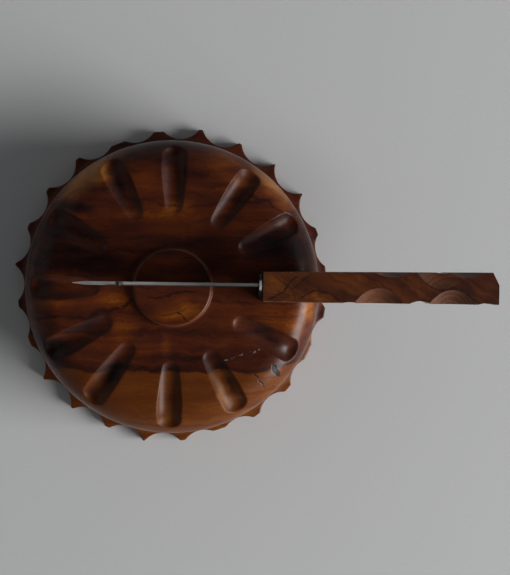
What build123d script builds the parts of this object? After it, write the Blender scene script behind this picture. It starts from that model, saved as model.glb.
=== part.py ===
"""Carved wooden bowl turned upside down on its rim, with its carved-handled knife laid across it.

Millimetres, +Z up. The origin is on the bowl's axis in the plane the rim stands on. The knife
lies along +X, blade over the bowl and handle reaching out past the rim, back of the blade up.
"""
import os
from math import acos, asin, cos, degrees, radians, sin

from build123d import *

os.makedirs("parts", exist_ok=True)

# ---------------------------------------------------------------- bowl
body_r = 93.6            # widest part of the body
base_z = 62.0            # flat of the base, measured from the rim plane
shoulder_r = 21.6        # round turn from the base into the side
shoulder_tuck = 9.6      # degrees the shoulder carries on under the widest part
waist_z = 22.0
cove_r = 12.0            # cove between the waist and the rim flange
rim_reach = 15.4         # rim beyond the body, before it is scalloped
rim_droop = 0.8
rim_ease = 0.8
wall_t = 7.8             # wall at the waist
mouth_flare = 2.0
lip_r = 3.0
inner_corner_r = 16.0
floor_t = 9.0
foot_r = 24.5            # raised round foot, cut from the same block
foot_h = 4.0
foot_ease = 0.8
foot_draft = 0.3

# ---------------------------------------------------------------- flutes in the base
flute_tool_r = 9.0       # ball-nosed gouge
flute_inset = 19.3       # where the gouge enters, in from the edge of the flat
flute_start_depth = 1.75
flute_depth = 4.5        # depth over the shoulder
flute_end_angle = 58.0   # degrees above the horizon, round the shoulder's own centre
# twelve flutes; how far each strays from an even twelfth, degrees, from +X round towards +Y
flute_stray = (0.0, -1.6, -5.0, -1.0, -3.4, -0.4, 0.0, -2.4, -6.0, -1.6, -1.6, 1.6)
# and how much further in than the inset each one starts
flute_reach = (-5.5, 0.0, 2.0, 1.7, 0.0, 0.0, 2.0, 4.5, 4.5, 1.5, 2.0, 4.0)

# ---------------------------------------------------------------- scalloped rim
tooth_count = 24
tooth_phase = 5.2
scallop_r = 15.4         # drum that scooped the rim
scallop_depth = 11.1
tip_trim = 5.3           # how far the points were dressed back, on average
# the rim was marked out by eye: (waves round the rim, size, direction of a crest in degrees)
tooth_stray = ((1, 1.5, 138.0), (2, 0.9, 4.0), (3, 0.68, 13.3))
tip_stray = ((1, 0.85, 104.0), (2, 1.32, 49.6), (3, 0.81, 37.4), (4, 1.19, -36.7), (8, 1.6, -5.1))

# ---------------------------------------------------------------- knife
rest_gap = 0.1           # air left under the knife where it rests
knife_y = 2.44           # laid a touch off the bowl's centre
knife_turn = -0.82       # and turned a touch, degrees
seat_l = 17.0            # length of handle that stands on the flat of the base
blade_l = 113.8
blade_h = 23.0
blade_t = 2.15
edge_t = 0.4
bevel_h = 9.5
ricasso_l = 9.8          # unbevelled stretch in front of the bolster
belly_l = 37.0           # the edge rises over this length to the point
tip_rise = 8.0
clip_l = 28.5            # the back falls over this length to the point
clip_drop = 0.7
clip_bulge = 2.3
notch_l = 1.9            # nick in the back, just behind the clip
notch_r = 1.5
tang_l = 50.0            # from the face of the bolster into the handle
tang_h = 8.0
bolster_t = 1.4
bolster_w = 14.4
bolster_h = 24.0
spacer_t = 1.0
handle_l = 144.7
handle_h = 26.5
handle_front_y = (-10.1, 8.3)
handle_back_y = (-10.1, 9.6)
handle_ease = 0.7
bed_gap = 0.6            # resin all round the tang
bed_end = 6.4            # and past its end
# scoops let into the handle's long edges: distance from the front, side of the knife, reach in
# from the side face, degrees the scoop leans down towards that side, drum radius
top_scoops = (
    (70.5, -1, 9.3, 35.0, 23.5),
    (116.0, -1, 8.8, 35.0, 23.5),
    (78.5, 1, 3.2, 62.0, 22.0),
    (123.9, 1, 3.2, 62.0, 25.0),
    (109.6, 1, 10.2, 12.0, 62.0),
)
under_scoops = (
    (47.0, -1, 5.0, 45.0, 18.0),
    (94.0, -1, 7.0, 40.0, 18.0),
    (57.4, 1, 6.0, 42.0, 18.0),
    (100.5, 1, 5.0, 48.0, 20.0),
)
# upright finger hollows: distance from the front, side of the knife, depth
finger_hollows = ((52.8, -1, 0.6), (96.5, -1, 1.8), (137.3, -1, 1.0), (110.1, 1, 0.6))
hollow_r = 15.0
corner_l = 4.2           # corner cut off the butt, along the handle
corner_w = 7.8           # and across it
corner_lean = 16.0

# ---------------------------------------------------------------- places that follow
base_flat_r = body_r - shoulder_r
rim_r = body_r + rim_reach
edge_z = base_z + foot_h + rest_gap
seat_z = base_z + rest_gap
spine_z = edge_z + blade_h
tang_z = edge_z + blade_h / 2
handle_x = base_flat_r - seat_l
butt_x = handle_x + handle_l
bolster_end_x = handle_x - spacer_t
blade_end_x = bolster_end_x - bolster_t
blade_tip_x = blade_end_x - blade_l
handle_top_z = seat_z + handle_h


def stray(terms, angle):
    return sum(size * cos(waves * radians(angle - crest)) for waves, size, crest in terms)


# ================================================================ the bowl
def bowl_blank():
    top = base_z + foot_h
    floor_z = base_z - floor_t
    tuck = radians(shoulder_tuck)
    shoulder = (base_flat_r, base_z - shoulder_r)
    under = (shoulder[0] + shoulder_r * cos(tuck), shoulder[1] - shoulder_r * sin(tuck))
    waist = (under[0] - (under[1] - waist_z) * sin(tuck) / cos(tuck), waist_z)
    cove = (waist[0] + cove_r * cos(tuck), waist_z - cove_r * sin(tuck))
    cove_end = (cove[0], cove[1] - cove_r)
    rim_top = cove_end[1] - rim_droop
    inner_r = waist[0] - wall_t
    mouth_r = inner_r + mouth_flare
    corner = (inner_r - inner_corner_r, floor_z - inner_corner_r)
    with BuildSketch(Plane.XZ) as profile:
        with BuildLine():
            Polyline(
                (0, floor_z),
                (0, top),
                (foot_r - foot_ease, top),
                (foot_r, top - foot_ease),
                (foot_r + foot_draft, base_z + foot_ease),
                (foot_r + foot_draft + foot_ease, base_z),
                (base_flat_r, base_z),
            )
            CenterArc(shoulder, shoulder_r, 90, -(90 + shoulder_tuck))
            Line(under, waist)
            CenterArc(cove, cove_r, 180 - shoulder_tuck, 90 + shoulder_tuck)
            Polyline(
                cove_end,
                (rim_r - rim_ease, rim_top),
                (rim_r, rim_top - rim_ease),
                (rim_r, rim_ease),
                (rim_r - rim_ease, 0),
                (mouth_r + lip_r, 0),
            )
            CenterArc((mouth_r + lip_r, lip_r), lip_r, 180, 90)
            Line((mouth_r, lip_r), (inner_r, corner[1]))
            CenterArc(corner, inner_corner_r, 0, 90)
            Line((corner[0], floor_z), (0, floor_z))
        make_face()
    return revolve(profile.sketch, Axis.Z)


def flute_cutters(further):
    """The room a ball-nosed gouge sweeps: straight across the base, then down round the shoulder."""
    centre = Vector(base_flat_r, 0, base_z - shoulder_r)
    orbit = shoulder_r - flute_depth + flute_tool_r
    start_x = base_flat_r - flute_inset - further
    start = Vector(start_x, 0, base_z - flute_start_depth + flute_tool_r)
    # the straight run meets the swing round the shoulder without a corner
    reach = start - centre
    lead = Vector(1, 0, 0).get_angle(reach) - degrees(acos(orbit / reach.length))
    turn = centre + Vector(cos(radians(lead)), 0, sin(radians(lead))) * orbit
    swing = lead - flute_end_angle
    end_angle = radians(flute_end_angle)
    end = centre + Vector(cos(end_angle), 0, sin(end_angle)) * orbit
    run = turn - start
    straight = extrude(Plane(origin=start, z_dir=run) * Circle(flute_tool_r), amount=run.length)
    section = Plane(origin=turn, z_dir=run) * Circle(flute_tool_r)
    bend = revolve(section, Axis(centre, (0, 1, 0)), swing)
    return [straight, bend, Pos(start) * Sphere(flute_tool_r), Pos(end) * Sphere(flute_tool_r)]


def tooth_angle(k):
    even = 360.0 / tooth_count * k + tooth_phase
    return even + stray(tooth_stray, even)


def build_bowl():
    body = bowl_blank()
    for k, (off, further) in enumerate(zip(flute_stray, flute_reach)):
        angle = 360.0 / len(flute_stray) * k + off
        for cutter in flute_cutters(further):
            body -= Rot(0, 0, angle) * cutter
    for k in range(tooth_count):
        middle = (tooth_angle(k) + tooth_angle(k + 1)) / 2
        drum = Pos(rim_r - scallop_depth + scallop_r, 0, 0) * Cylinder(scallop_r, waist_z * 2)
        body -= Rot(0, 0, middle) * drum
    for k in range(tooth_count):
        angle = tooth_angle(k)
        trim = rim_r - tip_trim + stray(tip_stray, angle)
        dressed = Pos(trim + rim_reach / 2, 0, 0) * Box(rim_reach, 2 * scallop_r, waist_z * 2)
        body -= Rot(0, 0, angle) * dressed
    return body


# ================================================================ the knife
def build_blade():
    clip = (blade_tip_x + clip_l, spine_z - clip_drop)
    notch = (clip[0] + notch_l, spine_z)
    tip = (blade_tip_x, edge_z + tip_rise)
    belly_x = blade_tip_x + belly_l
    belly_r = (belly_l ** 2 + tip_rise ** 2) / (2 * tip_rise)
    half = asin(belly_l / belly_r) / 2
    with BuildSketch(Plane.XZ) as side:
        with BuildLine():
            Polyline(clip, notch, (blade_end_x, spine_z), (blade_end_x, edge_z), (belly_x, edge_z))
            ThreePointArc(
                (belly_x, edge_z),
                (belly_x - belly_r * sin(half), edge_z + belly_r * (1 - cos(half))),
                tip,
            )
            SagittaArc(tip, clip, clip_bulge)
        make_face()
    blade = extrude(side.sketch, amount=blade_t / 2, both=True)
    blade -= Pos(notch[0], 0, spine_z) * Rot(90, 0, 0) * Cylinder(notch_r, blade_t * 2)
    # the bevel: one wedge run straight along the edge, the same wedge swung round the belly
    for hand in (1, -1):
        wedge = Plane.YZ.offset(belly_x) * Polygon(
            (hand * edge_t / 2, edge_z),
            (hand * blade_t / 2, edge_z + bevel_h),
            (hand * blade_t, edge_z + bevel_h),
            (hand * blade_t, edge_z - 1),
            (hand * edge_t / 2, edge_z - 1),
            align=None,
        )
        blade -= extrude(wedge, amount=blade_end_x - ricasso_l - belly_x)
        blade -= revolve(wedge, Axis((belly_x, 0, edge_z + belly_r), (0, 1, 0)), degrees(half) * 3)
    return blade + build_tang()


def build_tang():
    return Pos(blade_end_x + tang_l / 2, 0, tang_z) * Box(tang_l, blade_t, tang_h)


def oval_plate(front_x, thickness):
    """A flat oval plate across the knife, with the tang's slot through it."""
    outline = Plane(origin=(front_x, 0, tang_z), x_dir=(0, 0, 1), z_dir=(1, 0, 0))
    return extrude(outline * SlotOverall(bolster_h, bolster_w), amount=thickness) - build_tang()


def side_face(x, side):
    """How far out the handle's side face stands, x along from its front."""
    front = handle_front_y[side > 0]
    back = handle_back_y[side > 0]
    return front + (back - front) * x / handle_l


def edge_scoop(face_z, up, x, side, reach, lean, radius):
    """A drum laid into one long edge of the handle, off the top face (up 1) or the underside."""
    slope = radians(lean)
    along = Vector(0, side * cos(slope), -up * sin(slope))
    outward = Vector(0, side * sin(slope), up * cos(slope))
    deepest = Vector(handle_x + x, side_face(x, side) - side * reach, face_z)
    return Plane(origin=deepest + outward * radius, z_dir=along) * Cylinder(radius, handle_l)


def build_handle():
    plan = Polygon(
        (handle_x, handle_front_y[0]),
        (butt_x, handle_back_y[0]),
        (butt_x, handle_back_y[1]),
        (handle_x, handle_front_y[1]),
        align=None,
    )
    body = Pos(0, 0, seat_z) * extrude(plan, amount=handle_h)
    body = fillet(body.edges().filter_by(lambda edge: edge.length > handle_l * 0.9), handle_ease)
    for scoop in top_scoops:
        body -= edge_scoop(handle_top_z, 1, *scoop)
    for scoop in under_scoops:
        body -= edge_scoop(seat_z, -1, *scoop)
    for x, side, depth in finger_hollows:
        hollow = Cylinder(hollow_r, handle_h * 3)
        body -= Pos(handle_x + x, side_face(x, side) + side * (hollow_r - depth), tang_z) * hollow
    corner = Plane(
        origin=(butt_x - corner_l, handle_back_y[1], handle_top_z),
        z_dir=(corner_w, corner_l, corner_w * sin(radians(corner_lean))),
    )
    body -= corner * Pos(0, 0, handle_h) * Box(4 * handle_h, 4 * handle_h, 2 * handle_h)
    return body - build_slot()


def build_slot():
    """The slot in the handle's front that the tang is bedded in."""
    length = blade_end_x + tang_l + bed_end - handle_x
    wide = blade_t + 2 * bed_gap
    tall = tang_h + 2 * bed_gap
    return Pos(handle_x + length / 2, 0, tang_z) * Box(length, wide, tall)


lay = Pos(0, knife_y, 0) * Rot(0, 0, knife_turn)
nodes = {
    "bowl": build_bowl(),
    "blade": lay * build_blade(),
    "bolster": lay * oval_plate(blade_end_x, bolster_t),
    "spacer": lay * oval_plate(bolster_end_x, spacer_t),
    "handle": lay * build_handle(),
    "tang_bedding": lay * (build_slot() - build_tang()),
}
for name, shape in nodes.items():
    shape.label = name
    export_step(shape, f"parts/{name}.step")
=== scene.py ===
"""Looks of the upturned carved bowl and its knife: oiled two-tone wood, satin steel, black fibre."""

from math import acos, cos, degrees, hypot, pi, radians, sin

import bpy
import numpy as np
from mathutils import Matrix, Vector


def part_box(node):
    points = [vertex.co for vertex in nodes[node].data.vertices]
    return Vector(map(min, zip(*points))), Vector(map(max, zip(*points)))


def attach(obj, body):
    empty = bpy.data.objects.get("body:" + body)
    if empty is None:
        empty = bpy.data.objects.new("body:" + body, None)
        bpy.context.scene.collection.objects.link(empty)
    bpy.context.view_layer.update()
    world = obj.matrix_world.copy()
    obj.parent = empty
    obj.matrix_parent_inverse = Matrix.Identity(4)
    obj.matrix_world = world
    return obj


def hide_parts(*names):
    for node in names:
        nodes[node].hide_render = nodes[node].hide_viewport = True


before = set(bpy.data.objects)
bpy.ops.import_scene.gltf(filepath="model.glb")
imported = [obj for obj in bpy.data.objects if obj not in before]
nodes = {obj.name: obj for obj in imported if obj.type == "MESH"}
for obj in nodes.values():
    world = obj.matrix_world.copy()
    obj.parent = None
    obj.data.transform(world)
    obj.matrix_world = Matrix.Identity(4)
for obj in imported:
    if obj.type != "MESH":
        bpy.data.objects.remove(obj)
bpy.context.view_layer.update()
bowl_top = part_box("bowl")[1].z
blade_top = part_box("blade")[1].z
MM = 0.001

# ---------------------------------------------------------------- bowl, in millimetres
foot_h = 4.0
foot_r = 24.5
foot_ease = 0.9
foot_crown = 1.8           # the foot's upper corner, worn rounder
foot_draft = 0.3
base_z = bowl_top / MM - foot_h
body_r = 93.6
shoulder_r = 21.6
shoulder_tuck = radians(9.6)
base_flat_r = body_r - shoulder_r
waist_z = 22.0
cove_r = 12.0
rim_r = 109.0
rim_droop = 0.8
rim_ease = 0.9
wall_t = 7.8
mouth_flare = 2.0
lip_r = 3.0
inner_corner_r = 16.0
floor_t = 9.0

flute_tool_r = 9.0
flute_inset = 19.3
flute_start_depth = 1.75
flute_depth = 4.5
flute_end_angle = radians(58.0)
flute_stray = (0.0, -1.6, -5.0, -1.0, -3.4, -0.4, 0.0, -2.4, -6.0, -1.6, -1.6, 1.6)
flute_reach = (-5.5, 0.0, 2.0, 1.7, 0.0, 0.0, 2.0, 4.5, 4.5, 1.5, 2.0, 4.0)
flute_lip = 0.35         # how softly the gouge's edge was sanded over
flute_steps = 40         # steps taken to find how deep the gouge went at a point
facing_down = -0.3       # skin whose normal leans lower than this is left uncarved

tooth_count = 24
tooth_phase = 5.2
scallop_r = 15.4
scallop_depth = 11.1
tip_trim = 5.3
tooth_stray = ((1, 1.5, 138.0), (2, 0.9, 4.0), (3, 0.68, 13.3))
tip_stray = ((1, 0.85, 104.0), (2, 1.32, 49.6), (3, 0.81, 37.4), (4, 1.19, -36.7), (8, 1.6, -5.1))
tip_round = 0.35         # sanding of the points, as a blend between neighbouring cuts

COARSE = 360             # points round a plain ring
FINE = 1080              # points round a ring that the carving crosses


def stray(terms, angle):
    return sum(size * np.cos(waves * np.radians(angle - crest)) for waves, size, crest in terms)


# ================================================================ the bowl's skin
def tooth_angle(k):
    even = 360.0 / tooth_count * k + tooth_phase
    return even + stray(tooth_stray, even)


def rim_outline(theta):
    """Radius of the scalloped rim in each direction."""
    cuts = [np.full_like(theta, rim_r)]
    drum_at = rim_r - scallop_depth + scallop_r
    for k in range(tooth_count):
        middle = radians((tooth_angle(k) + tooth_angle(k + 1)) / 2)
        off = np.angle(np.exp(1j * (theta - middle)))
        side = (drum_at * np.sin(off)) ** 2
        inside = (np.abs(off) < 0.5) & (side < scallop_r ** 2)
        reach = drum_at * np.cos(off) - np.sqrt(np.maximum(scallop_r ** 2 - side, 0))
        cuts.append(np.where(inside, reach, rim_r + 9))
        tip = tooth_angle(k)
        off = np.angle(np.exp(1j * (theta - radians(tip))))
        flat = (rim_r - tip_trim + stray(tip_stray, tip)) / np.cos(off)
        cuts.append(np.where(np.abs(off) < 0.14, flat, rim_r + 9))
    cuts = np.array(cuts)
    low = cuts.min(0)
    return low - tip_round * np.log(np.exp(-(cuts - low) / tip_round).sum(0))


class Rings:
    """A skin of revolution kept as rings. Each ring has its own radius, height and outward
    direction, all of which may change round it."""

    def __init__(self):
        self.rings = []

    def add(self, count, radius, height, lean):
        """lean is the angle of the outward normal above the horizon."""
        theta = np.arange(count) * 2 * pi / count
        spread = [np.broadcast_to(np.asarray(v, float), (count,)) for v in (radius, height, lean)]
        self.rings.append((theta, *spread))

    def run(self, count, start, end, lean, steps, first=False):
        """A straight stretch of the section."""
        for k in range(0 if first else 1, steps + 1):
            t = k / steps
            self.add(count, start[0] + (end[0] - start[0]) * t, start[1] + (end[1] - start[1]) * t, lean)

    def turn(self, count, centre, radius, start, end, steps, hollow=False):
        """A round stretch of the section, from one angle to another."""
        for k in range(1, steps + 1):
            a = start + (end - start) * k / steps
            self.add(count, centre[0] + radius * cos(a), centre[1] + radius * sin(a), a + pi * hollow)

    def arrays(self):
        points, normals = [], []
        for theta, r, z, lean in self.rings:
            c, s = np.cos(theta), np.sin(theta)
            points.append(np.stack([r * c, r * s, z], 1))
            normals.append(np.stack([np.cos(lean) * c, np.cos(lean) * s, np.sin(lean)], 1))
        return np.concatenate(points), np.concatenate(normals)

    def faces(self):
        """Quads between like rings, six-cornered faces where the count triples, caps at the ends."""
        faces, at = [], 0
        starts = []
        for ring in self.rings:
            starts.append(at)
            at += len(ring[0])
        for (a, ring_a), (b, ring_b) in zip(
            zip(starts, self.rings), zip(starts[1:], self.rings[1:])
        ):
            na, nb = len(ring_a[0]), len(ring_b[0])
            if na == nb:
                i = np.arange(na)
                j = (i + 1) % na
                faces += np.stack([a + i, b + i, b + j, a + j], 1).tolist()
                continue
            wide, narrow, flip = (b, a, False) if nb > na else (a, b, True)
            few, ratio = min(na, nb), max(na, nb) // min(na, nb)
            for i in range(few):
                j = (i + 1) % few
                fan = [wide + (ratio * i + k) % (few * ratio) for k in range(ratio + 1)]
                ring = [narrow + i, *fan, narrow + j]
                faces.append(ring[::-1] if flip else ring)
        first, last = self.rings[0], self.rings[-1]
        faces.append([starts[0] + k for k in range(len(first[0]))])
        faces.append([starts[-1] + k for k in range(len(last[0]))][::-1])
        return faces


def bowl_rings():
    rings = Rings()
    top = base_z + foot_h
    floor_z = base_z - floor_t
    up, out, down = pi / 2, 0.0, -pi / 2
    # the foot
    rings.run(COARSE, (0.6, top), (foot_r - foot_crown, top), up, 22, first=True)
    rings.turn(COARSE, (foot_r - foot_crown, top - foot_crown), foot_crown, up, out, 8)
    toe = foot_r + foot_draft
    rings.run(COARSE, (foot_r, top - foot_crown), (toe, base_z + foot_ease), out, 4)
    rings.turn(COARSE, (toe + foot_ease, base_z + foot_ease), foot_ease, pi, 1.5 * pi, 6, hollow=True)
    # the flat of the base, then the shoulder and the side
    plain_to = base_flat_r - flute_inset - flute_tool_r - max(flute_reach)
    rings.run(COARSE, (toe + foot_ease, base_z), (plain_to, base_z), up, 10)
    rings.run(FINE, (plain_to, base_z), (base_flat_r, base_z), up, 64)
    shoulder = (base_flat_r, base_z - shoulder_r)
    rings.turn(FINE, shoulder, shoulder_r, up, -shoulder_tuck, 76)
    under = (shoulder[0] + shoulder_r * cos(shoulder_tuck), shoulder[1] - shoulder_r * sin(shoulder_tuck))
    waist = (under[0] - (under[1] - waist_z) * sin(shoulder_tuck) / cos(shoulder_tuck), waist_z)
    rings.run(FINE, under, waist, -shoulder_tuck, 16)
    cove = (waist[0] + cove_r * cos(shoulder_tuck), waist_z - cove_r * sin(shoulder_tuck))
    part_way = pi + radians(44)
    rings.turn(FINE, cove, cove_r, pi - shoulder_tuck, part_way, 14, hollow=True)
    # the flange: from here out the section stretches to the scalloped outline
    theta = np.arange(FINE) * 2 * pi / FINE
    outline = rim_outline(theta)
    flange_from = cove[0] + cove_r * cos(part_way)
    flange_z = cove[1] - cove_r

    def top_of_flange(r):
        in_cove = cove[1] - np.sqrt(np.maximum(cove_r ** 2 - (cove[0] - r) ** 2, 0))
        beyond = flange_z - rim_droop * (r - cove[0]) / (rim_r - cove[0])
        return np.where(r < cove[0], in_cove, beyond)

    def lean_of_flange(r):
        return np.where(r < cove[0], np.arccos(np.clip((cove[0] - r) / cove_r, 0, 1)), up)

    shelf = outline - rim_ease
    for k in range(1, 15):
        r = flange_from + (shelf - flange_from) * k / 14
        rings.add(FINE, r, top_of_flange(r), lean_of_flange(r))
    crest = top_of_flange(outline)
    for k in range(1, 6):
        a = up * (1 - k / 5)
        rings.add(FINE, shelf + rim_ease * cos(a), crest - rim_ease + rim_ease * sin(a), a)
    for k in range(1, 9):
        rings.add(FINE, outline, crest + (2 * rim_ease - crest) * k / 8 - rim_ease, out)
    for k in range(1, 6):
        a = down * k / 5
        rings.add(FINE, shelf + rim_ease * cos(a), rim_ease + rim_ease * sin(a), a)
    inner_r = waist[0] - wall_t
    mouth_r = inner_r + mouth_flare
    for k in range(1, 9):
        rings.add(FINE, shelf + (mouth_r + lip_r + 1.5 - shelf) * k / 8, 0.0, down)
    # the lip and the inside
    rings.add(COARSE, mouth_r + lip_r, 0.0, down)
    rings.turn(COARSE, (mouth_r + lip_r, lip_r), lip_r, 1.5 * pi, pi, 7)
    corner = (inner_r - inner_corner_r, floor_z - inner_corner_r)
    rings.run(COARSE, (mouth_r, lip_r), (inner_r, corner[1]), pi, 16)
    rings.turn(COARSE, corner, inner_corner_r, out, up, 16, hollow=True)
    rings.run(COARSE, (corner[0], floor_z), (0.6, floor_z), down, 30)
    return rings


def gouge_distance(points, further):
    """Distance from the line that the gouge's centre follows, in a flute's own frame."""
    centre = np.array([base_flat_r, base_z - shoulder_r])
    orbit = shoulder_r - flute_depth + flute_tool_r
    start_x = base_flat_r - flute_inset - further
    start = np.array([start_x, base_z - flute_start_depth + flute_tool_r])
    reach = start - centre
    lead = np.arctan2(reach[1], reach[0]) - acos(orbit / hypot(*reach))
    turn = centre + orbit * np.array([cos(lead), sin(lead)])
    end = centre + orbit * np.array([cos(flute_end_angle), sin(flute_end_angle)])
    flat = points[:, [0, 2]]
    along = turn - start
    t = np.clip(((flat - start) @ along) / (along @ along), 0, 1)
    straight = np.linalg.norm(flat - start - t[:, None] * along, axis=1)
    spoke = flat - centre
    angle = np.arctan2(spoke[:, 1], spoke[:, 0])
    round_part = np.where(
        angle > lead,
        np.linalg.norm(flat - turn, axis=1),
        np.where(
            angle < flute_end_angle,
            np.linalg.norm(flat - end, axis=1),
            np.abs(np.linalg.norm(spoke, axis=1) - orbit),
        ),
    )
    return np.hypot(points[:, 1], np.minimum(straight, round_part))


def carve_flutes(points, normals):
    """How far each point sinks along its normal to lie on the floor of a flute."""
    sink = np.zeros(len(points))
    for k, (off, further) in enumerate(zip(flute_stray, flute_reach)):
        a = radians(360.0 / len(flute_stray) * k + off)
        spin = np.array([[cos(a), sin(a), 0], [-sin(a), cos(a), 0], [0, 0, 1]])
        p, n = points @ spin.T, normals @ spin.T
        # only the skin round this one flute is looked at
        near = (p[:, 0] > 36) & (np.abs(p[:, 1]) < 13) & (p[:, 2] > waist_z + 8) & (n[:, 2] > facing_down)
        near &= p[:, 2] < base_z + 1
        p, n = p[near], n[near]
        gap = gouge_distance(p, further) - flute_tool_r
        depth = np.where(gap < 0, 0.0, -gap)
        inside = gap < 0
        sunk = np.zeros(inside.sum())
        for _ in range(flute_steps):
            deeper = p[inside] - n[inside] * sunk[:, None]
            sunk += np.maximum(flute_tool_r - gouge_distance(deeper, further), 0)
        depth[inside] = sunk
        sink[near] = np.maximum(sink[near], (depth + np.sqrt(depth ** 2 + flute_lip ** 2)) / 2)
    return np.where(sink > 0.02, sink, 0)


def hand_waver(points, seed, longest, amount):
    """The slight waver that hand sanding leaves, from a few long waves in random directions."""
    dice = np.random.default_rng(seed)
    waver = np.zeros(len(points))
    for _ in range(14):
        ray = dice.normal(size=3)
        ray *= 2 * pi / (longest * dice.uniform(0.35, 1.0)) / np.linalg.norm(ray)
        waver += np.sin(points @ ray + dice.uniform(0, 2 * pi))
    return amount * (waver / 6 - 1).clip(-2, 0)


def mesh_object(name, points, faces, smooth=True):
    mesh = bpy.data.meshes.new(name)
    mesh.from_pydata((np.asarray(points) * MM).tolist(), [], faces)
    mesh.validate()
    mesh.polygons.foreach_set("use_smooth", [smooth] * len(mesh.polygons))
    mesh.update()
    thing = bpy.data.objects.new(name, mesh)
    bpy.context.scene.collection.objects.link(thing)
    return thing


def build_bowl():
    rings = bowl_rings()
    points, normals = rings.arrays()
    sink = carve_flutes(points, normals)
    outside = points[:, 2] > waist_z
    outside &= np.hypot(points[:, 0], points[:, 1]) > foot_r + 3
    outside &= normals[:, 2] > facing_down
    waver = hand_waver(points, 5, 46.0, 0.09) * outside
    points = points - normals * (sink - waver)[:, None]
    bowl = mesh_object("carved_bowl", points, rings.faces())
    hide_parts("bowl")
    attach(bowl, "bowl")
    return bowl


# ================================================================ material language
class Field:
    """A value, vector or colour in a material, used in plain Python expressions."""

    def __init__(self, recipe, socket):
        self.recipe = recipe
        self.socket = socket

    def maths(self, operation, *others):
        return self.recipe.add("Math", {"operation": operation}, [self, *others])

    def __add__(self, other):
        return self.maths("ADD", other)

    def __sub__(self, other):
        return self.maths("SUBTRACT", other)

    def __mul__(self, other):
        return self.maths("MULTIPLY", other)

    def __truediv__(self, other):
        return self.maths("DIVIDE", other)

    def __pow__(self, other):
        return self.maths("POWER", other)

    def __rsub__(self, other):
        return self.recipe.add("Math", {"operation": "SUBTRACT"}, [other, self])

    __radd__ = __add__

    def most(self, other):
        return self.maths("MAXIMUM", other)

    def size(self):
        return self.maths("ABSOLUTE")

    def step(self, low, high, to_low=0.0, to_high=1.0):
        """Eases from to_low to to_high as the value goes from low to high."""
        return self.recipe.add(
            "MapRange", {"interpolation_type": "SMOOTHSTEP"}, [self, low, high, to_low, to_high]
        )


class Recipe:
    """One material, written as a list of what is mixed with what."""

    def __init__(self, name):
        self.material = bpy.data.materials.new(name)
        self.material.use_nodes = True
        self.tree = self.material.node_tree
        self.tree.nodes.clear()
        self.shader = self.tree.nodes.new("ShaderNodeBsdfPrincipled")
        end = self.tree.nodes.new("ShaderNodeOutputMaterial")
        self.tree.links.new(self.shader.outputs["BSDF"], end.inputs["Surface"])
        metres = self.add("TexCoord", out="Object")
        self.place = self.add("VectorMath", {"operation": "SCALE"}, {"Vector": metres, "Scale": 1 / MM})
        self.x, self.y, self.z = self.apart(self.place)

    def node(self, kind, settings=None, inputs=None):
        """Adds a node: its settings first, then the values or links of its sockets."""
        node = self.tree.nodes.new("ShaderNode" + kind)
        for name, value in (settings or {}).items():
            if name == "stops":
                for stop, (at, colour) in enumerate(value):
                    spots = node.color_ramp.elements
                    spot = spots[stop] if stop < 2 else spots.new(at)
                    spot.position = at
                    spot.color = (*colour, 1)
            else:
                setattr(node, name, value)
        pairs = inputs.items() if isinstance(inputs, dict) else enumerate(inputs or [])
        for key, value in pairs:
            self.feed(node.inputs[key], value)
        return node

    def add(self, kind, settings=None, inputs=None, out=0):
        return Field(self, self.node(kind, settings, inputs).outputs[out])

    def feed(self, socket, value):
        if isinstance(value, Field):
            self.tree.links.new(value.socket, socket)
        elif isinstance(value, tuple) and len(value) == 3 and socket.type == "RGBA":
            socket.default_value = (*value, 1)
        else:
            socket.default_value = value

    def apart(self, vector):
        parts = self.node("SeparateXYZ", {}, {"Vector": vector})
        return [Field(self, parts.outputs[k]) for k in range(3)]

    def spot(self, x, y, z):
        return self.add("CombineXYZ", {}, [x, y, z])

    def noise(self, where, scale, detail=3.0, roughness=0.5, out=0):
        return self.add(
            "TexNoise",
            {},
            {"Vector": where, "Scale": scale, "Detail": detail, "Roughness": roughness},
            out=out,
        )

    def ramp(self, value, stops):
        return self.add("ValToRGB", {"stops": stops}, [value])

    def blend(self, amount, under, over):
        return self.add("Mix", {"data_type": "RGBA"}, {0: amount, 6: under, 7: over}, out=2)

    def bump(self, height, strength, distance):
        return self.add("Bump", {}, {"Height": height, "Strength": strength, "Distance": distance})

    def finish(self, **sockets):
        for name, value in sockets.items():
            self.feed(self.shader.inputs[name.replace("_", " ")], value)
        return self.material


# ================================================================ woods
def patch(r, x, y, long, wide, turn=0.0, strength=1.0, soft=0.1, deep=58.0):
    """A soft oval of figure, seen in plan on the piece's upper face and fading with depth."""
    here = r.add(
        "Mapping",
        {"vector_type": "TEXTURE"},
        {"Vector": r.seen, "Location": (x, y, r.top), "Rotation": (0, 0, radians(turn)),
         "Scale": (long, wide, deep)},
    )
    return r.add("VectorMath", {"operation": "LENGTH"}, [here], out="Value").step(1.0, soft, 0.0, strength)


def gather(r, places, **more):
    """The strongest of several patches at each spot."""
    total = None
    for place in places:
        one = patch(r, *place, **more)
        total = one if total is None else total.most(one)
    return total


def vein(r, *path, wide=1.3, strength=1.0):
    """A dark line drawn through a few places in plan."""
    pieces = []
    for (x0, y0), (x1, y1) in zip(path, path[1:]):
        long = hypot(x1 - x0, y1 - y0) / 2
        turn = degrees(np.arctan2(y1 - y0, x1 - x0))
        pieces.append(((x0 + x1) / 2, (y0 + y1) / 2, long * 1.3 + wide, wide, turn, strength))
    return gather(r, pieces, soft=0.3)


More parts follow.
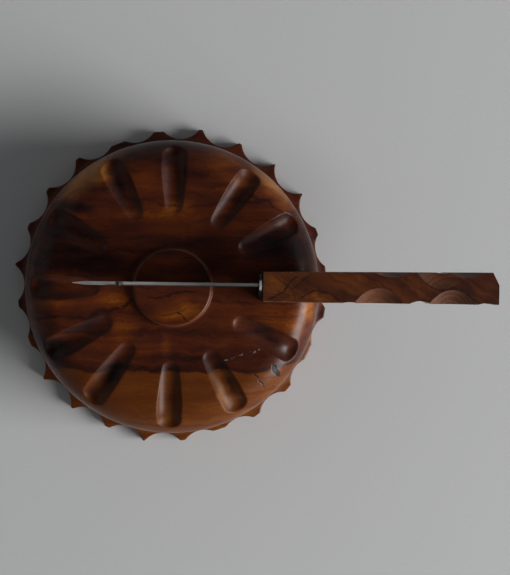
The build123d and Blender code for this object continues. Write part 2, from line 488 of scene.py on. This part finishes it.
def wandering(r, top, amount, reach):
    """The place a pattern is read at: the true one, pushed about by slow waves in the wood."""
    r.top = top
    push = r.noise(r.place, 1 / reach, 4.0, 0.6, out="Color")
    push = r.add("VectorMath", {"operation": "SUBTRACT"}, [push, (0.5, 0.5, 0.5)])
    push = r.add("VectorMath", {"operation": "SCALE"}, {"Vector": push, "Scale": amount})
    r.seen = r.add("VectorMath", {"operation": "ADD"}, [r.place, push])
    return r.apart(r.seen)


# where the bowl's figure is golden: x, y, half length, half width, turn, strength
bowl_gold = (
    (-3, 45, 36, 13, -3, 0.85),
    (4, 49, 20, 8, -4, 1.0),
    (-16, 67, 22, 13, 10, 0.6),
    (36, 73, 30, 14, -25, 0.9),
    (66, 61, 24, 12, -42, 1.3),
    (-58, 66, 25, 15, 42, 1.3),
    (-46, 71, 14, 12, 40, 1.9),
    (-36, -9, 22, 7, -12, 0.8),
    (-31, -26, 13, 12, 25, 0.75),
    (0, 5, 20, 6, 8, 0.35),
    (-76, -11, 20, 6, 0, 0.5),
    (2, -15, 24, 10, 5, 1.15),
    (70, -22, 32, 14, -14, 0.8),
    (86, -16, 10, 14, 0, 1.3),
    (28, -64, 5, 16, 22, 0.9),
    (48, -70, 24, 10, 30, 0.5),
    (-5, -37, 5, 12, 0, 0.5),
    (38, -22, 24, 12, 10, 0.35),
    (-62, 3, 16, 4, 3, 0.6),
)
# and where it is dark heartwood
bowl_dark = (
    (-66, 29, 32, 21, -8, 0.85),
    (-60, 50, 20, 5, -12, 0.9),
    (-34, 62, 6, 14, 20, 1.1),
    (-50, 14, 36, 12, 0, 0.7),
    (24, 18, 30, 12, 0, 0.6),
    (-4, 22, 20, 4, 0, 0.4),
    (-2, 26, 60, 7, 2, 0.35),
    (66, 25, 34, 17, 8, 1.0),
    (-77, -38, 20, 11, -35, 0.85),
    (-56, -24, 26, 6, 25, 0.7),
    (-84, 20, 12, 26, 10, 0.6),
    (-4, 79, 6, 22, 0, 0.5),
    (-38, -55, 15, 9, 52, 1.25),
    (37, -62, 4, 14, 25, 0.7),
    (30, -50, 5, 5, 0, 0.6),
    (60, -31, 20, 6, -32, 0.8),
    (40, 72, 12, 7, -10, 0.6),
    (2, 91, 62, 8, 0, 0.7),
    (-80, 0, 14, 5, 0, 0.5),
    (0, -44, 40, 6, 0, 0.35),
)


sapwood_from = -51.4       # the layer at which the sapwood starts


def short_wave(r):
    return r.noise(r.spot(r.x / 24, 0.0, 5.0), 1.0, 2.0, 0.6) - 0.5


def bowl_wood():
    r = Recipe("oiled_bowl_wood")
    fx, fy, fz = wandering(r, base_z, 12.0, 22.0)
    slow = r.noise(r.spot(fx / 90, fy / 26, fz / 26), 1.0, 2.0, 0.5) - 0.5
    streak = r.noise(r.spot(fx / 60, fy / 6.5, fz / 6.5), 1.0, 3.0, 0.55) - 0.5
    fibre = r.noise(r.spot(r.x / 22, fy * 0.95, fz * 0.95), 1.0, 4.0, 0.65) - 0.5
    pores = r.noise(r.spot(r.x / 4.0, r.y * 2.2, r.z * 2.2), 1.0, 2.0, 0.5).step(0.67, 0.79)
    pins = r.noise(r.place, 0.42, 1.0, 0.5).step(0.80, 0.83)
    # the layers dip a little towards the sapwood side
    layer = fy + (fz - base_z) * 0.4
    years = r.add("Math", {"operation": "SINE"}, [layer * 0.62 + slow * 9])
    years = years.step(0.35, 1.0) * slow.step(-0.12, 0.12)
    gold = gather(r, bowl_gold)
    dark = gather(r, bowl_dark)
    tone = 0.45 + gold * 0.40 - dark * 0.36 + slow * 0.55 + streak * 0.75 + fibre * 0.34 - years * 0.15
    wood = r.ramp(
        tone,
        [
            (0.0, (0.0080, 0.0034, 0.0034)),
            (1.0, (0.2500, 0.0760, 0.0078)),
            (0.2, (0.0230, 0.0066, 0.0048)),
            (0.42, (0.0560, 0.0125, 0.0054)),
            (0.62, (0.0930, 0.0205, 0.0055)),
            (0.8, (0.1400, 0.0360, 0.0058)),
        ],
    )
    # golden sapwood beyond a clean dark line
    beyond = layer + short_wave(r) * 3 - sapwood_from
    sap = beyond.step(0.2, -2.2)
    line = beyond.size().step(2.4, 0.5) * streak.step(-0.2, 0.05)
    sapwood = r.ramp(
        0.56 + fibre * 0.45 + slow * 0.6 + streak * 0.55 - years * 0.2,
        [
            (0.0, (0.0500, 0.0125, 0.0048)),
            (1.0, (0.2150, 0.0760, 0.0085)),
            (0.5, (0.1120, 0.0285, 0.0052)),
            (0.75, (0.1580, 0.0480, 0.0064)),
        ],
    )
    wood = r.blend(sap * (1 - dark * 0.8), wood, sapwood)
    lines = vein(r, (-90, -20), (-65, -17), (-54, -18), (-44, -16), (-31, -15), (-24, -9.5), wide=1.6)
    lines = lines.most(vein(r, (-14, -6), (-5, -4), (1.5, -2.5), (6, -4), (15, -1.5), wide=1.1))
    lines = lines.most(vein(r, (-14, 52), (8, 50), (23, 52), (40, 55), wide=1.0, strength=0.7))
    lines = lines.most(vein(r, (46, 58), (58, 53), (72, 45), wide=1.3, strength=0.8))
    lines = lines.most(vein(r, (-9, -16), (7, -15), wide=0.9, strength=0.6))
    lines = lines.most(vein(r, (-34, 30), (-8, 32), (20, 30), wide=1.0, strength=0.5))
    lines = lines.most(vein(r, (-88, 6), (-70, 8), (-48, 5), wide=1.2, strength=0.6))
    lines = lines.most(line * 0.9)
    # drying cracks: one on the foot, one beside the knot on the shoulder, one broken and pale
    cracks = vein(r, (1.5, -15), (6, -17.5), (11, -21.5), wide=0.55)
    cracks = cracks.most(vein(r, (51, -52), (54, -57), (57, -63), wide=0.7))
    knot = gather(r, ((66, -53, 6, 2.4, -62, 1.0),), soft=0.7)
    pale = vein(r, (31, -46), (38, -43), (47, -40), (57, -38), wide=0.9)
    pale = pale * r.noise(r.place, 0.5, 2.0, 0.6).step(0.52, 0.58)
    wood = r.blend(lines * 0.75, wood, (0.0130, 0.0046, 0.0040))
    wood = r.blend((pores * 0.5).most(pins), wood, (0.008, 0.003, 0.0025))
    wood = r.blend((cracks * 0.9).most(knot), wood, (0.005, 0.003, 0.003))
    wood = r.blend(pale * 0.55, wood, (0.30, 0.26, 0.23))
    tan = gather(r, ((-55, 70, 27, 12, 42, 0.42), (62, 67, 24, 8, -45, 0.5), (30, -66, 4, 14, 22, 0.5)))
    wood = r.blend(tan * (1 - lines) * (1 - dark * 0.6), wood, (0.380, 0.180, 0.070))
    # gouge walls turn aside from the round of the bowl; they are taken to be rougher, and their colour is
    # darkened a little there
    side_x, side_y, _ = r.apart(r.add("NewGeometry", out="True Normal"))
    from_axis = (r.x * r.x + r.y * r.y + 1) ** 0.5
    off_round = (side_x * r.y - side_y * r.x) / from_axis
    gouged = off_round.size().step(0.06, 0.3)
    wood = r.blend(gouged * 0.22, wood, (0.020, 0.007, 0.005))
    # the foot's corner is a little paler all round
    paler_foot_corner = (from_axis - foot_r + 0.3).size().step(1.1, 0.3) * r.z.step(base_z + 1.2, base_z + 2.4)
    wood = r.blend(paler_foot_corner * 0.1, wood, (0.480, 0.190, 0.070))
    gloss = r.noise(r.place, 0.035, 3.0, 0.5).step(0.3, 0.7, 0.26, 0.38) + fibre * 0.14 + gouged * 0.13
    raised = fibre * 0.22 - pores * 0.5 - pins * 2 - cracks * 3 - knot * 3 - pale
    raised = raised + r.noise(r.place, 0.5, 3.0, 0.6) * 0.25
    return r.finish(
        Base_Color=wood,
        Roughness=gloss,
        Specular_IOR_Level=0.16,
        Normal=r.bump(raised, 0.22, 0.0002),
    )


handle_gold = (
    (61, 2, 11, 10, 60, 0.9),
    (88, -5.5, 12, 3.6, -8, 1.0),
    (70, -8, 10, 3, 20, 0.6),
    (108, 2, 16, 8, -30, 0.35),
    (150, 3, 14, 6, -30, 0.45),
    (190, -2, 14, 7, 20, 0.3),
)
handle_dark = (
    (80, 4, 12, 5, 38, 0.6),
    (103, -5, 7, 7, 70, 0.6),
    (134, -7, 10, 4, -20, 0.7),
    (179, -4, 9, 6, -30, 0.8),
    (165, 0, 12, 5, -25, 0.4),
    (124, 6, 14, 4, 10, 0.35),
)


handle_above_base = 26.6
# the two places of the sanding drum's centre that the scratches are ringed about
drum_x = 126.0
next_drum = 44.3
drum_y = -14.0
drum_change = (147.0, 149.0)


def handle_wood():
    r = Recipe("oiled_handle_wood")
    fx, fy, fz = wandering(r, base_z + handle_above_base, 4.5, 9.0)
    slow = r.noise(r.spot(fx / 26, fy / 9, fz / 9), 1.0, 2.0, 0.5) - 0.5
    flow = fy + fx * 0.55 + slow * 12
    streak = r.noise(r.spot(fx / 24, flow / 2.6, fz / 3), 1.0, 3.0, 0.6) - 0.5
    fibre = r.noise(r.spot(r.x / 9, flow * 1.5, fz * 1.5), 1.0, 4.0, 0.65) - 0.5
    pores = r.noise(r.spot(r.x / 3.2, flow * 2.4, r.z * 2.4), 1.0, 2.0, 0.5).step(0.67, 0.79)
    gold = gather(r, handle_gold)
    dark = gather(r, handle_dark)
    tone = 0.47 + gold * 0.32 - dark * 0.26 + slow * 0.45 + streak * 0.75 + fibre * 0.5
    tone = tone + r.x.step(110.0, 190.0) * -0.13
    wood = r.ramp(
        tone,
        [
            (0.0, (0.012, 0.0038, 0.0028)),
            (1.0, (0.200, 0.0620, 0.0080)),
            (0.25, (0.034, 0.0085, 0.0038)),
            (0.5, (0.074, 0.0185, 0.0048)),
            (0.75, (0.122, 0.0340, 0.0060)),
        ],
    )
    lines = vein(r, (57, -7.5), (63, -4.5), (67, -2.4), (71, 3.4), (76, 8), wide=0.9)
    lines = lines.most(vein(r, (71, -1), (77, 3.4), (84, 8.5), wide=0.8, strength=0.8))
    lines = lines.most(vein(r, (77, -6.5), (81, -3.6), (88, -1.2), (97, -4.6), (101, -8), wide=0.8))
    lines = lines.most(vein(r, (83, -6.6), (88, -4.6), (95, -7), wide=0.5, strength=0.6))
    lines = lines.most(vein(r, (61, 8), (66, 4), (72, 0), (75, -8), wide=0.7, strength=0.6))
    lines = lines.most(vein(r, (150, 8), (158, 2), (168, -1), (180, -6), wide=1.0, strength=0.4))
    wood = r.blend(lines * 0.85, wood, (0.014, 0.0048, 0.0036))
    wood = r.blend(pores * 0.5, wood, (0.010, 0.004, 0.003))
    # the scoops show where the surface faces none of the handle's own six ways
    turned = [way.size() for way in r.apart(r.add("NewGeometry", out="True Normal"))]
    scooped = turned[0].most(turned[1]).most(turned[2]).step(0.992, 0.97)
    # the drum's scratches: rings about the nearer of its two centres along the handle
    along = r.x - drum_x - r.x.step(*drum_change) * next_drum
    across = r.y - drum_y
    sweep = (along * along + across * across) ** 0.5
    drum = r.noise(r.spot(0.0, sweep * 1.1, r.x * 0.02), 1.0, 4.0, 0.8) - 0.5
    raised = fibre * 0.3 - pores * 0.5 + drum * scooped * 2.5
    wood = r.blend(scooped * (0.2 + drum * 1.8), wood, (0.260, 0.105, 0.050))
    return r.finish(
        Base_Color=wood,
        Roughness=0.42 + fibre * 0.1 + scooped * 0.06,
        Specular_IOR_Level=0.2,
        Normal=r.bump(raised, 0.5, 0.0002),
    )


# ================================================================ metal and fibre
nick_x = -32.6
back_slant = 0.0143        # the middle of the blade's back: its slant, and its y where x is 0
back_y = 2.48
rough_x = -39.0


def blade_steel(top):
    """Satin steel. Its shade along the back is painted reflection and painted shade, set as a guess: paler
    at the point, darker at the bolster, dark in the nick and along one edge of the back.
    """
    r = Recipe("satin_blade")
    stroke = r.noise(r.spot(r.x / 18, r.y * 5, r.z * 9), 1.0, 3.0, 0.7) - 0.5
    cloud = r.noise(r.place, 0.08, 2.0, 0.5)
    # painted reflection: the steel is painted paler at the point and darker towards the bolster, where it
    # is also made glossier
    painted_fade_to_bolster = r.x.step(-48.0, 40.0)
    back = r.z.step(top - 3.0, top - 1.6)
    # painted shade in the nick, where the back steps down
    nick_painted_shade = (r.x - nick_x).size().step(2.0, 0.9) * back
    # painted shade: a darker line along one edge of the back
    back_edge_painted_shade = (r.y + r.x * back_slant - back_y).step(-0.25, -0.8, 0.0, 0.75) * back
    rough = (r.x - rough_x).size().step(5.5, 1.0)
    steel = r.ramp(cloud + stroke * 0.6, [(0.25, (0.54, 0.52, 0.50)), (0.8, (0.80, 0.78, 0.75))])
    # painted reflection: the steel's colour darkens towards the bolster
    steel = r.blend(painted_fade_to_bolster * 0.5, steel, (0.2, 0.19, 0.18))
    return r.finish(
        # painted shade in the nick and along one edge of the back
        Base_Color=r.blend((nick_painted_shade * 0.92).most(back_edge_painted_shade), steel, (0.02, 0.02, 0.02)),
        Metallic=1.0,
        Roughness=painted_fade_to_bolster * -0.2 + 0.60 + stroke * 0.2 + rough * 0.2,
        Normal=r.bump(stroke, 0.25, 0.00004),
    )


def bolster_steel(top):
    """Bright steel along the bolster's top; its faces carry painted shade, nearly black."""
    r = Recipe("satin_bolster")
    stroke = r.noise(r.spot(r.x * 5, r.y / 3, r.z * 4), 1.0, 3.0, 0.7) - 0.5
    # painted shade on the bolster's faces, with plain bright steel left along its top
    top_clear_of_painted_shade = r.z.step(top - 0.9, top - 0.2)
    return r.finish(
        Base_Color=r.blend(top_clear_of_painted_shade, (0.035, 0.033, 0.031), (0.74, 0.71, 0.68)),
        Metallic=1.0,
        Roughness=0.5 + stroke * 0.2,
        Normal=r.bump(stroke, 0.25, 0.00004),
    )


def black_fibre():
    r = Recipe("black_fibre")
    grain = r.noise(r.place, 2.2, 3.0, 0.6)
    return r.finish(
        Base_Color=r.ramp(grain, [(0.2, (0.003, 0.003, 0.003)), (0.9, (0.012, 0.011, 0.010))]),
        Roughness=grain.step(0.2, 0.9, 0.45, 0.62),
        Specular_IOR_Level=0.1,
        Normal=r.bump(grain, 0.3, 0.00005),
    )


def bedding_resin():
    r = Recipe("bedding_resin")
    cloud = r.noise(r.place, 0.4, 3.0, 0.6)
    return r.finish(
        Base_Color=r.ramp(cloud, [(0.2, (0.030, 0.022, 0.014)), (0.9, (0.060, 0.045, 0.030))]),
        Roughness=cloud.step(0.2, 0.9, 0.3, 0.5),
        Normal=r.bump(cloud, 0.2, 0.0001),
    )


def give(thing, material):
    thing.data.materials.clear()
    thing.data.materials.append(material)


def ease_edges(node, width, angle):
    """Rounds the sharp edges of a piece kept from the frame."""
    soft = node.modifiers.new("eased_edges", "BEVEL")
    soft.width = width * MM
    soft.segments = 2
    soft.limit_method = "ANGLE"
    soft.angle_limit = radians(angle)
    soft.harden_normals = False


# ================================================================ floor, light and camera
def build_floor():
    far = 12000
    corners = [(-far, -far, 0), (far, -far, 0), (far, far, 0), (-far, far, 0)]
    floor = mesh_object("floor", corners, [(0, 1, 2, 3)], smooth=False)
    r = Recipe("pale_floor")
    tooth = r.noise(r.place, 0.6, 3.0, 0.6)
    give(floor, r.finish(
        Base_Color=r.ramp(tooth, [(0.2, (0.56, 0.56, 0.56)), (0.9, (0.60, 0.60, 0.60))]),
        Roughness=0.9,
        Specular_IOR_Level=0.1,
    ))


def soft_light(name, azimuth, elevation, distance, wide, tall, power, aim):
    """A rectangular light that faces its aim; angles in degrees, lengths in metres, power in watts."""
    data = bpy.data.lights.new(name, "AREA")
    data.shape = "RECTANGLE"
    data.size = wide
    data.size_y = tall
    data.energy = power
    data.spread = pi
    lamp = bpy.data.objects.new(name, data)
    a, e = radians(azimuth), radians(elevation)
    towards = Vector((cos(a) * cos(e), sin(a) * cos(e), sin(e)))
    lamp.location = aim + towards * distance
    lamp.rotation_euler = towards.to_track_quat("Z", "Y").to_euler()
    bpy.context.scene.collection.objects.link(lamp)


def build_lights():
    middle = Vector((0, 0, 0.03))
    soft_light("low_window", -20, 21, 4.0, 2.8, 2.0, 250, middle)
    soft_light("far_wall", 158, 34, 4.0, 3.4, 2.4, 5, middle)
    # the room: dark overhead, paler walls all round
    world = bpy.data.worlds.new("studio")
    bpy.context.scene.world = world
    world.use_nodes = True
    tree = world.node_tree
    height = tree.nodes.new("ShaderNodeSeparateXYZ")
    tree.links.new(tree.nodes.new("ShaderNodeTexCoord").outputs["Generated"], height.inputs[0])
    walls = tree.nodes.new("ShaderNodeMapRange")
    for socket, value in zip(walls.inputs[1:5], (0.0, 1.0, 0.33, 0.02)):
        socket.default_value = value
    tree.links.new(height.outputs[2], walls.inputs[0])
    tree.links.new(walls.outputs[0], tree.nodes["Background"].inputs["Strength"])
    tree.nodes["Background"].inputs["Color"].default_value = (0.93, 0.97, 1, 1)
    bpy.context.scene.view_settings.view_transform = "Standard"


def build_camera():
    """Looks down from 0.78 m above the blade, a few degrees off the vertical."""
    eye = Vector((0.0047, 0.0142, blade_top + 0.7809))
    target = Vector((0.0499, 0.0004, blade_top))
    data = bpy.data.cameras.new("camera")
    data.sensor_width = 36.0
    data.lens = 81.04
    data.clip_start, data.clip_end = 0.01, 20
    camera = bpy.data.objects.new("camera", data)
    back = (eye - target).normalized()
    right = Vector((0, 1, 0)).cross(back).normalized()
    up = back.cross(right)
    camera.matrix_world = Matrix.Translation(eye) @ Matrix((right, up, back)).transposed().to_4x4()
    bpy.context.scene.collection.objects.link(camera)
    bpy.context.scene.camera = camera


bowl = build_bowl()
give(bowl, bowl_wood())
give(nodes["handle"], handle_wood())
give(nodes["blade"], blade_steel(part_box("blade")[1][2] / MM))
give(nodes["bolster"], bolster_steel(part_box("bolster")[1][2] / MM))
give(nodes["spacer"], black_fibre())
give(nodes["tang_bedding"], bedding_resin())
ease_edges(nodes["handle"], 0.35, 24)
ease_edges(nodes["blade"], 0.12, 40)
ease_edges(nodes["bolster"], 0.25, 40)
ease_edges(nodes["spacer"], 0.12, 40)
build_floor()
build_lights()
build_camera()
